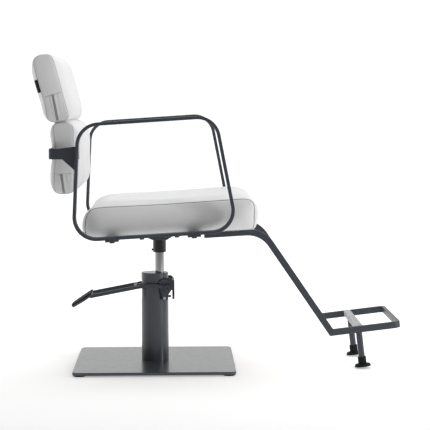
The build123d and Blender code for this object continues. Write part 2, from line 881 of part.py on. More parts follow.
board_thickness = 12
cover_thickness = 3
with BuildPart() as strap_bolts:
    for bolt_y in strap_bolt_ys:
        with BuildSketch(Plane.YZ.offset(strap_back)):
            with Locations((bolt_y, strap_bolt_z)):
                Circle(strap_bolt_radius)
        extrude(amount=strap_thickness + cover_thickness + board_thickness)
        with BuildSketch(Plane.YZ.offset(strap_back - strap_bolt_head_height)):
            with Locations((bolt_y, strap_bolt_z)):
                Circle(strap_bolt_head_radius)
        extrude(amount=strap_bolt_head_height)
    fillet(strap_bolts.faces().group_by(Axis.X)[0].edges(), strap_bolt_head_fillet)
save(strap_bolts, "strap_bolts")

# ---------------------------------------------------------------- seat board and cushion
cushion_half_width = 262
board_half_width = 250
board_rear_x = -168
board_front_x = 250
board_corner_radius = 20
cushion_lift = 0.3
footrest_near = 157
footrest_far = 167
footrest_middle = (footrest_near + footrest_far) / 2
footrest_bolt_xs = (155, 218)
footrest_bolt_ys = (footrest_middle - 15, footrest_middle + 15)
footrest_bolt_radius = 3
footrest_bolt_bite = 10


def footrest_bolt_places():
    """Places on the seat plane of the eight bolts that hold the footrest's plates."""
    return [(x, side * y) for x in footrest_bolt_xs for side in BOTH_SIDES for y in footrest_bolt_ys]


with BuildPart() as seat_board:
    with BuildSketch(seat_plane):
        with Locations(((board_rear_x + board_front_x) / 2, 0)):
            RectangleRounded(board_front_x - board_rear_x, 2 * board_half_width, board_corner_radius)
    extrude(amount=board_thickness)
    with BuildSketch(seat_plane):
        with Locations(*footrest_bolt_places()):
            Circle(footrest_bolt_radius)
    extrude(amount=footrest_bolt_bite, mode=Mode.SUBTRACT)
save(seat_board, "seat_board")

seat_outline = (
    seat_point(-177, cushion_lift),
    (-190, 400),
    (-191, 452),
    (-166, 476),
    (-130, 483),
    (215, 505),
    (258, 499),
    (281, 470),
    (281, 412),
    seat_point(272, cushion_lift),
)
seat_edge_radius = 12
seat_edge_height = 440
with BuildPart() as seat_cushion:
    with BuildSketch(side_plane(cushion_half_width)):
        Polygon(*seat_outline, align=None)
    extrude(amount=2 * cushion_half_width)
    side_edges = seat_cushion.faces().filter_by(Axis.Y).edges()
    fillet(side_edges.filter_by(lambda edge: edge.center().Z > seat_edge_height), seat_edge_radius)
    with BuildSketch(seat_plane):
        with Locations(((board_rear_x + board_front_x) / 2, 0)):
            RectangleRounded(board_front_x - board_rear_x, 2 * board_half_width, board_corner_radius)
    extrude(amount=board_thickness, mode=Mode.SUBTRACT)
save(seat_cushion, "seat_cushion")

# ---------------------------------------------------------------- back boards, spines and cushions
back_board_half_width = 238
lower_board_bottom = 515
lower_board_top = 655
upper_bottom_rear = (-276, 701)
upper_top_rear = (-319, 847)
upper_lean = atan((upper_bottom_rear[0] - upper_top_rear[0]) / (upper_top_rear[1] - upper_bottom_rear[1]))
spine_width = 30
spine_thickness = 4
spine_y = 120
spine_bottom = 540
spine_reach = 130
spine_inset = cover_thickness + spine_thickness / 2


def upper_point(up, forward):
    """Side-view X and Z of a point up along the upper cushion's back and forward from it."""
    x = upper_bottom_rear[0] - up * sin(upper_lean) + forward * cos(upper_lean)
    z = upper_bottom_rear[1] + up * cos(upper_lean) + forward * sin(upper_lean)
    return (x, z)


spine_lower_x = strap_front + spine_inset
spine_drop = (upper_point(0, spine_inset)[0] - spine_lower_x) / sin(upper_lean)
spine_bend = upper_point(spine_drop, spine_inset)
spine_path = (
    (spine_lower_x, spine_bottom),
    spine_bend,
    upper_point(spine_reach, spine_inset),
)

with BuildPart() as back_spines:
    for side in BOTH_SIDES:
        with BuildSketch(side_plane(outer_y(side, spine_y - spine_width / 2, spine_y + spine_width / 2))):
            with BuildLine():
                Polyline(*spine_path)
            trace(line_width=spine_thickness)
        extrude(amount=spine_width)
save(back_spines, "back_spines")

lower_board_back = strap_front + cover_thickness
lower_board_outline = (
    (lower_board_back, lower_board_bottom),
    (lower_board_back + board_thickness, lower_board_bottom),
    (lower_board_back + board_thickness, lower_board_top),
    (lower_board_back, lower_board_top),
)
with BuildPart() as lower_back_board:
    with BuildSketch(side_plane(back_board_half_width)):
        Polygon(*lower_board_outline, align=None)
    extrude(amount=2 * back_board_half_width)
    add(back_spines.part, mode=Mode.SUBTRACT)
    add(strap_bolts.part, mode=Mode.SUBTRACT)
save(lower_back_board, "lower_back_board")

lower_cushion_outline = (
    (strap_front, 505),
    (-255, 503),
    (-222, 505),
    (-203, 530),
    (-200, 600),
    (-203, 665),
    (-222, 688),
    (-262, 691),
    (-280, 682),
    (-279, 672),
    (strap_front, 645),
)
with BuildPart() as lower_back_cushion:
    with BuildSketch(side_plane(cushion_half_width)):
        Polygon(*lower_cushion_outline, align=None)
    extrude(amount=2 * cushion_half_width)
    with BuildSketch(side_plane(back_board_half_width)):
        Polygon(*lower_board_outline, align=None)
    extrude(amount=2 * back_board_half_width, mode=Mode.SUBTRACT)
    add(back_spines.part, mode=Mode.SUBTRACT)
    add(strap_bolts.part, mode=Mode.SUBTRACT)
save(lower_back_cushion, "lower_back_cushion")

upper_board_bottom = 14
upper_board_top = 140
upper_board_outline = (
    upper_point(upper_board_bottom, cover_thickness),
    upper_point(upper_board_bottom, cover_thickness + board_thickness),
    upper_point(upper_board_top, cover_thickness + board_thickness),
    upper_point(upper_board_top, cover_thickness),
)
with BuildPart() as upper_back_board:
    with BuildSketch(side_plane(back_board_half_width)):
        Polygon(*upper_board_outline, align=None)
    extrude(amount=2 * back_board_half_width)
    add(back_spines.part, mode=Mode.SUBTRACT)
save(upper_back_board, "upper_back_board")

upper_cushion_outline = (
    upper_point(4, 0),
    upper_point(-4, 16),
    (-235, 696),
    (-210, 704),
    (-203, 722),
    (-212, 755),
    (-235, 830),
    (-257, 877),
    (-275, 886),
    (-305, 880),
    (-324, 862),
    upper_point(150, 0),
)
with BuildPart() as upper_back_cushion:
    with BuildSketch(side_plane(cushion_half_width)):
        Polygon(*upper_cushion_outline, align=None)
    extrude(amount=2 * cushion_half_width)
    with BuildSketch(side_plane(back_board_half_width)):
        Polygon(*upper_board_outline, align=None)
    extrude(amount=2 * back_board_half_width, mode=Mode.SUBTRACT)
    add(back_spines.part, mode=Mode.SUBTRACT)
save(upper_back_cushion, "upper_back_cushion")

tab_thickness = 1.2
tab_width = 13
tab_low = 76
tab_high = 109
with BuildPart() as label_tab:
    with BuildSketch(side_plane(-cushion_half_width)):
        Polygon(
            upper_point(tab_low, 0),
            upper_point(tab_low, tab_width),
            upper_point(tab_high, tab_width),
            upper_point(tab_high, 0),
            align=None,
        )
    extrude(amount=tab_thickness)
save(label_tab, "label_tab")

# ---------------------------------------------------------------- footrest
footrest_bar = footrest_far - footrest_near
footrest_bar_height = 18.5
footrest_edge_radius = 1.5
mount_plate_drop = 4
strut_rise = -mount_plate_drop - footrest_bar_height / 2
strut_back = 138
plate_front = 235
plate_width = 52
strut_bend = (298.5, 392.4)
strut_bend_radius = 78
mitre = (490.9, 109.4)
frame_tilt = atan(0.1167)
frame_length = 188.4
frame_corner_radius = 15
mitre_overrun = 20
strut_dx = mitre[0] - strut_bend[0]
strut_dz = mitre[1] - strut_bend[1]
strut_length = sqrt(strut_dx**2 + strut_dz**2)
mitre_plane = Plane(
    origin=(mitre[0], 0, mitre[1]),
    z_dir=(strut_dx / strut_length + cos(frame_tilt), 0, strut_dz / strut_length + sin(frame_tilt)),
)
past_mitre = 1 + mitre_overrun / strut_length
strut_path = (
    seat_point(strut_back, strut_rise),
    strut_bend,
    (strut_bend[0] + past_mitre * strut_dx, strut_bend[1] + past_mitre * strut_dz),
)

for side, side_name in zip(BOTH_SIDES, ("right", "left")):
    with BuildPart() as footrest_strut:
        with BuildSketch(side_plane(outer_y(side, footrest_near, footrest_far))):
            with BuildLine():
                FilletPolyline(*strut_path, radius=strut_bend_radius)
            trace(line_width=footrest_bar_height)
        extrude(amount=footrest_bar)
        split(bisect_by=mitre_plane, keep=Keep.BOTTOM)
        fillet(footrest_strut.faces().filter_by(Axis.Y).edges(), footrest_edge_radius)
    save(footrest_strut, f"footrest_strut_{side_name}")

frame_plane = Plane(
    origin=(mitre[0], 0, mitre[1]),
    x_dir=(cos(frame_tilt), 0, sin(frame_tilt)),
    z_dir=(-sin(frame_tilt), 0, cos(frame_tilt)),
)
frame_up = Axis(frame_plane.origin, frame_plane.z_dir)
with BuildPart() as footrest_frame:
    with BuildSketch(frame_plane.offset(-footrest_bar_height / 2)):
        with BuildLine():
            FilletPolyline(
                (-mitre_overrun, -footrest_middle),
                (frame_length, -footrest_middle),
                (frame_length, footrest_middle),
                (-mitre_overrun, footrest_middle),
                radius=frame_corner_radius,
            )
        trace(line_width=footrest_bar)
    extrude(amount=footrest_bar_height)
    split(bisect_by=mitre_plane, keep=Keep.TOP)
    fillet(footrest_frame.faces().filter_by(frame_up).edges(), footrest_edge_radius)
save(footrest_frame, "footrest_frame")

cross_bar_x = 79.5
cross_bar_width = 20
cross_bar_height = 16
cross_bar_bottom = footrest_bar_height / 2 - cross_bar_height
with BuildPart() as footrest_cross_bar:
    with BuildSketch(frame_plane.offset(cross_bar_bottom)):
        with Locations((cross_bar_x, 0)):
            Rectangle(cross_bar_width, 2 * footrest_near)
    extrude(amount=cross_bar_height)
    fillet(footrest_cross_bar.edges().filter_by(Axis.Y), footrest_edge_radius)
save(footrest_cross_bar, "footrest_cross_bar")

with BuildPart() as footrest_mount_plates:
    with BuildSketch(seat_plane.offset(-mount_plate_drop)):
        for side in BOTH_SIDES:
            with Locations(((strut_back + plate_front) / 2, side * footrest_middle)):
                Rectangle(plate_front - strut_back, plate_width)
        with Locations(*footrest_bolt_places()):
            Circle(footrest_bolt_radius, mode=Mode.SUBTRACT)
    extrude(amount=mount_plate_drop)
save(footrest_mount_plates, "footrest_mount_plates")

footrest_head_radius = 5.5
footrest_head_height = 4
with BuildPart() as footrest_bolts:
    with BuildSketch(seat_plane.offset(-mount_plate_drop)):
        with Locations(*footrest_bolt_places()):
            Circle(footrest_bolt_radius)
    extrude(amount=mount_plate_drop + footrest_bolt_bite)
    with BuildSketch(seat_plane.offset(-mount_plate_drop - footrest_head_height)):
        with Locations(*footrest_bolt_places()):
            Circle(footrest_head_radius)
    extrude(amount=footrest_head_height)
save(footrest_bolts, "footrest_bolts")

leg_x = 81.5
leg_y = 105
leg_radius = 8.75
leg_bottom = -110
foot_bottom = -114
foot_height = 27
foot_radius = 11.5
foot_flange_radius = 23.25
foot_flange_height = 6
foot_flange_taper = 25

with BuildPart() as footrest_legs:
    with BuildSketch(frame_plane.offset(leg_bottom)):
        with Locations((leg_x, -leg_y), (leg_x, leg_y)):
            Circle(leg_radius)
    extrude(amount=cross_bar_bottom - leg_bottom)
save(footrest_legs, "footrest_legs")

with BuildPart() as footrest_feet:
    with BuildSketch(frame_plane.offset(foot_bottom)):
        with Locations((leg_x, -leg_y), (leg_x, leg_y)):
            Circle(foot_flange_radius)
    extrude(amount=foot_flange_height, taper=foot_flange_taper)
    with BuildSketch(frame_plane.offset(foot_bottom)):
        with Locations((leg_x, -leg_y), (leg_x, leg_y)):
            Circle(foot_radius)
    extrude(amount=foot_height)
    with BuildSketch(frame_plane.offset(leg_bottom)):
        with Locations((leg_x, -leg_y), (leg_x, leg_y)):
            Circle(leg_radius)
    extrude(amount=foot_height, mode=Mode.SUBTRACT)
save(footrest_feet, "footrest_feet")
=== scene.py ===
import json
import math

import bmesh
import bpy
from mathutils import Matrix, Vector
from mathutils.bvhtree import BVHTree
from mathutils.geometry import delaunay_2d_cdt
from mathutils.kdtree import KDTree


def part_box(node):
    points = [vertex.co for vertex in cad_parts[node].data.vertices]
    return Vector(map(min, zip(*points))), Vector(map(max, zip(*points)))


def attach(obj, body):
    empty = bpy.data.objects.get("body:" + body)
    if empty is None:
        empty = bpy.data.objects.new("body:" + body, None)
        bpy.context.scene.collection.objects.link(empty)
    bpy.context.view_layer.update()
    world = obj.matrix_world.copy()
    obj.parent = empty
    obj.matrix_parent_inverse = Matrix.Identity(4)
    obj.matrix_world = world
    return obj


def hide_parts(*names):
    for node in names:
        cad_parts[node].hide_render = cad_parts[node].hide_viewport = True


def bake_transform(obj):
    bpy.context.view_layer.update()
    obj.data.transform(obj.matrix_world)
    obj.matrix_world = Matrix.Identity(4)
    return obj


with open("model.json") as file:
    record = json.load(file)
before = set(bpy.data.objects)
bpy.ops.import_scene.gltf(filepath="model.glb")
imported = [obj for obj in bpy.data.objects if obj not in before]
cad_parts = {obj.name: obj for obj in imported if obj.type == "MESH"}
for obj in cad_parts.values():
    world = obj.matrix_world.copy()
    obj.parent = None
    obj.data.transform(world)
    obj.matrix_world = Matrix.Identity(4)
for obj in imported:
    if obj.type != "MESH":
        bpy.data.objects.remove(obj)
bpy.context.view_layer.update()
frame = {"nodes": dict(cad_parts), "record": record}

MM = 0.001
SEAT = "seat"
SIDES = {"right": -1, "left": 1}

# ---------------------------------------------------------------- camera
CAMERA_PLACE = Vector((0.06533, -4.36619, 0.74208))
CAMERA_LENS = 128.27
CAMERA_YAW = math.radians(1.409)
CAMERA_PITCH = math.radians(4.140)
CAMERA_ROLL = math.radians(-0.185)


def add_camera():
    """Long-lens camera level with the armrests, a little behind and above the middle of the chair."""
    ahead = Vector((
        math.sin(CAMERA_YAW) * math.cos(CAMERA_PITCH),
        math.cos(CAMERA_YAW) * math.cos(CAMERA_PITCH),
        -math.sin(CAMERA_PITCH),
    ))
    level = Vector((math.cos(CAMERA_YAW), -math.sin(CAMERA_YAW), 0))
    upright = level.cross(ahead)
    right = math.cos(CAMERA_ROLL) * level + math.sin(CAMERA_ROLL) * upright
    up = math.cos(CAMERA_ROLL) * upright - math.sin(CAMERA_ROLL) * level
    data = bpy.data.cameras.new("camera")
    data.lens = CAMERA_LENS
    data.sensor_width = 36
    data.clip_end = 100
    camera = bpy.data.objects.new("camera", data)
    bpy.context.scene.collection.objects.link(camera)
    turn = Matrix((right, up, -ahead)).transposed().to_4x4()
    camera.matrix_world = Matrix.Translation(CAMERA_PLACE) @ turn
    bpy.context.scene.camera = camera


# ---------------------------------------------------------------- light and floor
# Ramps run along Y, which points away from the camera; the floor's are in metres.
SKY_TURN = (-0.1, 0.8)
SKY_STRENGTH = (0.22, 1.1)
FLOOR_REACH = 30
# Painted shade: the floor's colour darkens far in front of the chair. Painted light: the floor glows, more
# so behind the chair.
FLOOR_PAINTED_SHADE_TURN = (-3.5, -1.2)
FLOOR_COLOUR_AND_PAINTED_SHADE = (0.35, 0.9)
FLOOR_GLOW_TURN = (-0.9, 1.5)
FLOOR_GLOW = (0.18, 0.75)
LIGHTS = {
    "top_light": {
        "place": (0.1, -0.1, 3.0), "target": (0, 0, 0.4), "width": 2.4, "height": 2.4, "power": 35,
    },
    "front_light": {
        "place": (2.5, -1.3, 1.2), "target": (0, 0, 1.12), "width": 0.45, "height": 2.05, "power": 28,
    },
}


def ramp(tree, value, turn, reach, smooth=False):
    """The value, held to the span of turn, spread over the span of reach."""
    spread = tree.nodes.new("ShaderNodeMapRange")
    if smooth:
        spread.interpolation_type = "SMOOTHSTEP"
    spread.inputs["From Min"].default_value = turn[0]
    spread.inputs["From Max"].default_value = turn[1]
    spread.inputs["To Min"].default_value = reach[0]
    spread.inputs["To Max"].default_value = reach[1]
    tree.links.new(value, spread.inputs["Value"])
    return spread.outputs["Result"]


def along_y(tree, coordinates):
    """The Y part of the texture coordinates of that name."""
    place = tree.nodes.new("ShaderNodeTexCoord")
    split = tree.nodes.new("ShaderNodeSeparateXYZ")
    tree.links.new(place.outputs[coordinates], split.inputs[0])
    return split.outputs["Y"]


def add_world():
    """White studio: bright behind the chair, dimmer overhead and on the side the camera stands on."""
    world = bpy.data.worlds.new("studio")
    bpy.context.scene.world = world
    world.use_nodes = True
    tree = world.node_tree
    tree.nodes.clear()
    background = tree.nodes.new("ShaderNodeBackground")
    background.inputs["Color"].default_value = (1, 1, 1, 1)
    strength = ramp(tree, along_y(tree, "Generated"), SKY_TURN, SKY_STRENGTH, smooth=True)
    tree.links.new(strength, background.inputs["Strength"])
    output = tree.nodes.new("ShaderNodeOutputWorld")
    tree.links.new(background.outputs[0], output.inputs["Surface"])


def add_area_light(name, place, target, width, height, power):
    """One soft oblong light aimed at a point."""
    data = bpy.data.lights.new(name, "AREA")
    data.shape = "RECTANGLE"
    data.size = width
    data.size_y = height
    data.energy = power
    light = bpy.data.objects.new(name, data)
    bpy.context.scene.collection.objects.link(light)
    aim = (Vector(target) - Vector(place)).to_track_quat("-Z", "Y")
    light.matrix_world = Matrix.Translation(place) @ aim.to_matrix().to_4x4()


def pale_floor_with_painted_light():
    """Pale matt paint with painted shade that darkens it far in front of the chair, and a painted glow that
    grows behind it.
    """
    material = bpy.data.materials.new("pale_floor_with_painted_light")
    material.use_nodes = True
    tree = material.node_tree
    shader = tree.nodes["Principled BSDF"]
    shader.inputs["Roughness"].default_value = 0.95
    shader.inputs["Specular IOR Level"].default_value = 0.1
    shader.inputs["Emission Color"].default_value = (1, 1, 1, 1)
    depth = along_y(tree, "Object")
    # Painted light and painted shade: the floor glows behind the chair, and its colour darkens far in front.
    tree.links.new(ramp(tree, depth, FLOOR_GLOW_TURN, FLOOR_GLOW), shader.inputs["Emission Strength"])
    tree.links.new(ramp(tree, depth, FLOOR_PAINTED_SHADE_TURN, FLOOR_COLOUR_AND_PAINTED_SHADE), shader.inputs["Base Color"])
    return material


def add_floor():
    """A large pale floor with painted shade in front and a painted glow behind, standing in for a lit studio
    sweep.
    """
    mesh = bpy.data.meshes.new("floor")
    low, high = -FLOOR_REACH, FLOOR_REACH
    mesh.from_pydata([(low, low, 0), (high, low, 0), (high, high, 0), (low, high, 0)], [], [(0, 1, 2, 3)])
    floor = bpy.data.objects.new("floor", mesh)
    bpy.context.scene.collection.objects.link(floor)
    floor.data.materials.append(pale_floor_with_painted_light())


# ---------------------------------------------------------------- materials
NOISE_SPAN = (0.3, 0.7)
MOTTLE_SCALE = 18
PATCH_SCALE = 60
ROUGHNESS_SPREAD = 0.02
SMOOTHEST = 0.02
GRAIN_HEIGHT = 0.15 * MM


def noise(tree, coords, scale, detail=3.0):
    """Noise over coordinates in metres; scale is in cells per metre."""
    texture = tree.nodes.new("ShaderNodeTexNoise")
    texture.inputs["Scale"].default_value = scale
    texture.inputs["Detail"].default_value = detail
    tree.links.new(coords, texture.inputs["Vector"])
    return texture.outputs["Fac"]


def spread_noise(tree, value, low, high):
    """Noise, which stays near the middle of its range, spread over low to high."""
    return ramp(tree, value, NOISE_SPAN, (low, high))


def blend_colours(tree, factor, first, second):
    """A colour running from first to second with the factor."""
    mix = tree.nodes.new("ShaderNodeMix")
    mix.data_type = "RGBA"
    mix.inputs["A"].default_value = (*first, 1)
    mix.inputs["B"].default_value = (*second, 1)
    tree.links.new(factor, mix.inputs["Factor"])
    return mix.outputs["Result"]


def add_bump(tree, shader, height, strength, distance, normal=None):
    """Bump on the shader; returns the node's normal so that bumps can be stacked."""
    bump = tree.nodes.new("ShaderNodeBump")
    bump.inputs["Strength"].default_value = strength
    bump.inputs["Distance"].default_value = distance
    tree.links.new(height, bump.inputs["Height"])
    if normal:
        tree.links.new(normal, bump.inputs["Normal"])
    tree.links.new(bump.outputs["Normal"], shader.inputs["Normal"])
    return bump.outputs["Normal"]


def stretched(tree, coords, streak):
    """The coordinates scaled along each axis, so that grain runs in streaks."""
    stretch = tree.nodes.new("ShaderNodeMapping")
    stretch.inputs["Scale"].default_value = streak
    tree.links.new(coords, stretch.inputs["Vector"])
    return stretch.outputs["Vector"]


def surface(
    name, colour, roughness, metallic=0.0, grain=900, bump=0.2, vary=0.06, streak=None, coat=0.0, shine=0.5
):
    """A finish with slight mottling, uneven roughness and fine grain; streak stretches the grain."""
    material = bpy.data.materials.new(name)
    material.use_nodes = True
    tree = material.node_tree
    shader = tree.nodes["Principled BSDF"]
    shader.inputs["Metallic"].default_value = metallic
    shader.inputs["Specular IOR Level"].default_value = shine
    shader.inputs["Coat Weight"].default_value = coat
    shader.inputs["Coat Roughness"].default_value = 0.12
    coords = tree.nodes.new("ShaderNodeTexCoord").outputs["Object"]
    darker = tuple(c * (1 - vary) for c in colour)
    lighter = tuple(min(1, c * (1 + vary)) for c in colour)
    mottle = spread_noise(tree, noise(tree, coords, MOTTLE_SCALE), 0, 1)
    tree.links.new(blend_colours(tree, mottle, darker, lighter), shader.inputs["Base Color"])
    low = max(SMOOTHEST, roughness - ROUGHNESS_SPREAD)
    high = min(1, roughness + ROUGHNESS_SPREAD)
    patch = noise(tree, coords, PATCH_SCALE)
    tree.links.new(spread_noise(tree, patch, low, high), shader.inputs["Roughness"])
    grain_coords = stretched(tree, coords, streak) if streak else coords
    add_bump(tree, shader, noise(tree, grain_coords, grain, 2.0), bump, GRAIN_HEIGHT)
    return material


PEBBLE_SCALE = 700
PEBBLE_HEIGHT = 0.2 * MM
CREASE_SCALE = 26
CREASE_HEIGHT = 1.0 * MM
LEATHER_SHADE_SCALE = 9
LEATHER_PATCH_SCALE = 35
LEATHER_ROUGHNESS = (0.42, 0.55)
LEATHER_SHADE = 0.955


def leather(name, colour):
    """Pale coated leather: pebbled grain, faint creases and a soft shine."""
    material = bpy.data.materials.new(name)
    material.use_nodes = True
    tree = material.node_tree
    shader = tree.nodes["Principled BSDF"]
    shader.inputs["Specular IOR Level"].default_value = 0.4
    coords = tree.nodes.new("ShaderNodeTexCoord").outputs["Object"]
    darker = tuple(c * LEATHER_SHADE for c in colour)
    shade = spread_noise(tree, noise(tree, coords, LEATHER_SHADE_SCALE), 0, 1)
    tree.links.new(blend_colours(tree, shade, darker, colour), shader.inputs["Base Color"])
    patch = noise(tree, coords, LEATHER_PATCH_SCALE)
    tree.links.new(spread_noise(tree, patch, *LEATHER_ROUGHNESS), shader.inputs["Roughness"])
    creased = add_bump(tree, shader, noise(tree, coords, CREASE_SCALE, 4.0), 0.10, CREASE_HEIGHT)
    pebbles = tree.nodes.new("ShaderNodeTexVoronoi")
    pebbles.feature = "DISTANCE_TO_EDGE"
    pebbles.inputs["Scale"].default_value = PEBBLE_SCALE
    tree.links.new(coords, pebbles.inputs["Vector"])
    add_bump(tree, shader, pebbles.outputs["Distance"], 0.25, PEBBLE_HEIGHT, creased)
    return material


RIB_SCALE = 25
RIB_HEIGHT = 0.5 * MM


def ribbed(name, colour, roughness):
    """Textured tread strip: ribs across X, mottled, in a pale grey that is a painted reflection of the
    bright studio on its top.

    The wave texture turns 20 radians for each metre and unit of scale: ribs come every 12.6 mm.
    """
    material = surface(name, colour, roughness, grain=500, bump=0.4, vary=0.15)
    tree = material.node_tree
    shader = tree.nodes["Principled BSDF"]
    coords = tree.nodes.new("ShaderNodeTexCoord").outputs["Object"]
    wave = tree.nodes.new("ShaderNodeTexWave")
    wave.inputs["Scale"].default_value = RIB_SCALE
    wave.inputs["Distortion"].default_value = 0
    tree.links.new(coords, wave.inputs["Vector"])
    grained = shader.inputs["Normal"].links[0].from_socket
    add_bump(tree, shader, wave.outputs["Fac"], 0.8, RIB_HEIGHT, grained)
    return material


def finish_materials():
    """One finish per material slot of the record."""
    return {
        "black_frame": surface("frame_black", (0.038, 0.046, 0.058), 0.40, grain=1400, bump=0.10, vary=0.04),
        "grey_pump": surface(
            "pump_grey", (0.044, 0.052, 0.065), 0.31, grain=1600, bump=0.03, vary=0.03, coat=0.25
        ),
        "chrome": surface("rod_chrome", (0.34, 0.34, 0.35), 0.05, 1.0, grain=300, bump=0.02, vary=0.03),
        "rubber": surface(
            "black_rubber", (0.010, 0.010, 0.011), 0.75, grain=1500, bump=0.5, vary=0.2, shine=0.2
        ),
        "cast_iron": surface("raw_casting", (0.16, 0.16, 0.16), 0.6, 0.6, grain=700, bump=0.8, vary=0.15),
        "plain_steel": surface("drawn_steel", (0.5, 0.5, 0.51), 0.3, 1.0, streak=(8, 8, 1), vary=0.05),
        "brass": surface("turned_brass", (0.7, 0.52, 0.26), 0.3, 1.0, streak=(8, 8, 1)),
        "zinc_steel": surface("zinc_plate", (0.45, 0.45, 0.47), 0.35, 1.0, vary=0.1),
        "gloss_collar": surface("collar_gloss", (0.003, 0.003, 0.004), 0.12, grain=200, bump=0.02, coat=0.2),
        # Painted reflection: the tread's pale grey stands in for the bright studio mirrored on its dark
        # paint; the ribs are its own texture.
        "worn_tread": ribbed("tread_painted_reflection", (0.42, 0.43, 0.44), 0.5),
        "label": surface("label_black", (0.006, 0.006, 0.007), 0.8, grain=2500, bump=0.6, shine=0.1),
        "plywood": surface("birch_plywood", (0.55, 0.40, 0.25), 0.6, streak=(1, 12, 12), vary=0.12),
        "upholstery": leather("leather_white", (0.80, 0.80, 0.805)),
        "zip_tape": surface("zip_tape_grey", (0.20, 0.20, 0.21), 0.6, grain=2500, bump=0.5),
        # The seat's stitch thread is darkened to paint in the shade of its seam groove; the back cushions'
        # same stitch takes the pale thread.
        "thread": surface("thread_with_painted_seam_shade", (0.12, 0.12, 0.125), 0.8, grain=2500, bump=0.5),
        "pale_thread": surface("thread_pale", (0.42, 0.42, 0.425), 0.8, grain=2500, bump=0.5),
    }


def dress_nodes(finishes):
    """Give every CAD node the finish of its slot."""
    for entry in frame["record"]["subparts"]:
        node = frame["nodes"][entry["node"]]
        node.data.materials.clear()
        node.data.materials.append(finishes[entry["material_slot"]])


# ---------------------------------------------------------------- cushions
# Named lengths are in millimetres. Outlines are the side view's (x, z) points of the seams at both ends.
CUSHION_HALF_WIDTH = 262
SPACING = 12
EDGE_COLUMNS = (0, 3, 8, 15)
CORNER_CUT = 0.2
CUT_ROUNDS = 2
CORNER_REACH = 18
CORNER_SHARE = 0.75
PUFF_REACH = 36
PANEL_CLEAR = 0.65
SEAT_BOTTOM = 389.3
SEAT_SLOPE = 0.0561
STRAP_THICKNESS = 6
STRAP_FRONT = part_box("back_strap")[0][0] / MM + STRAP_THICKNESS
STRAP_BAND = (596, 626)
STRAP_BULGE = 0.8
STRAP_GAP = 0.3
HELD_MARGIN = 1
HELD_AT_STRAP = 2
HELD_ON_BARS = 3
PIN_REACH = 0.8
CLOTH_FRAMES = 20
EVEN_ROUNDS = 6
SMOOTH_LEVELS = 2
SEAM_DEPTH = 1.3
SEAM_REACH = 2.8
THREAD_LIFT = 0.2

CUSHIONS = {
    "seat_cushion": {
        "outline": [
            (-172, 381), (-182, 386), (-184, 418), (-178, 448), (-168, 463), (-140, 468),
            (30, 475), (212, 487.5), (260, 490), (274, 474), (272, 441), (272, 410),
            (264, 402), (236, 402.6), (130, 396.7), (-80, 385),
        ],
        "crown": {"front": 14, "rear": 12, "top": 2, "bottom": 0},
        "puff": 14,
        "cap": 8,
        "thread": 0.7,
        # The dark thread paints in the shade along the seat's seams.
        "thread_finish": "thread",
    },
    "lower_back_cushion": {
        "outline": [
            (-258, 503), (-232, 503), (-214, 505), (-211, 520), (-212, 600), (-211, 680),
            (-214, 691), (-228, 696), (-256, 694), (-266, 690), (-266, 672), (-261, 645),
            (-259, 612), (-262, 577), (-265, 535), (-265, 508),
        ],
        "crown": {"front": 13, "rear": 13, "top": 4, "bottom": 3},
        "puff": 6,
        "cap": 7,
        "thread": 0.5,
        "thread_finish": "pale_thread",
    },
    "upper_back_cushion": {
        "outline": [
            (-272, 694), (-283, 701), (-284, 735), (-299, 781), (-312, 829), (-318, 861),
            (-310, 872), (-286, 876), (-269, 877), (-263, 866), (-251, 822), (-238, 772),
            (-226, 726), (-219, 703), (-236, 698),
        ],
        "crown": {"front": 7, "rear": 9, "top": 7, "bottom": 3},
        "puff": 6,
        "cap": 7,
        "thread": 0.5,
        "thread_finish": "pale_thread",
    },
}


def smooth_outline(points):
    """The closed outline with its corners cut a few times, so that it turns softly."""
    near, far = 1 - CORNER_CUT, CORNER_CUT
    for _ in range(CUT_ROUNDS):
        cut = []
        for (ax, az), (bx, bz) in zip(points, points[1:] + points[:1]):
            cut.append((near * ax + far * bx, near * az + far * bz))
            cut.append((far * ax + near * bx, far * az + near * bz))
        points = cut
    return points


def resample(points, spacing):
    """The closed outline as evenly spaced points."""
    closed = [Vector(point) for point in points + points[:1]]
    lengths = [(b - a).length for a, b in zip(closed, closed[1:])]
    total = sum(lengths)
    count = round(total / spacing)
    result = []
    leg = 0
    travelled = 0.0
    for i in range(count):
        wanted = total * i / count
        while travelled + lengths[leg] < wanted:
            travelled += lengths[leg]
            leg += 1
        share = (wanted - travelled) / lengths[leg]
        result.append(closed[leg].lerp(closed[leg + 1], share))
    return result


def outward(points):
    """Outward unit normals of a closed clockwise or anticlockwise outline."""
    area = sum(a.x * b.y - b.x * a.y for a, b in zip(points, points[1:] + points[:1]))
    sign = 1 if area > 0 else -1
    normals = []
    for i in range(len(points)):
        along = points[(i + 1) % len(points)] - points[i - 1]
        normals.append(Vector((along.y, -along.x)).normalized() * sign)
    return normals


def cross_places():
    """Where the columns of a wrap stand across the chair: close together at the seams, even in between."""
    edge = [CUSHION_HALF_WIDTH - inset for inset in EDGE_COLUMNS]
    last = edge.pop()
    count = round(2 * last / SPACING)
    middle = [-last + 2 * last * i / count for i in range(count + 1)]
    return [-y for y in edge] + middle + edge[::-1]


def edge_rise(y):
    """Share of the full crown at y: a round corner next to the seam, then a gentle swell to the middle."""
    corner = 1 - min(1, (CUSHION_HALF_WIDTH - abs(y)) / CORNER_REACH)
    gentle = 1 - (y / CUSHION_HALF_WIDTH) ** 2
    return CORNER_SHARE * math.sqrt(1 - corner**2) + (1 - CORNER_SHARE) * gentle


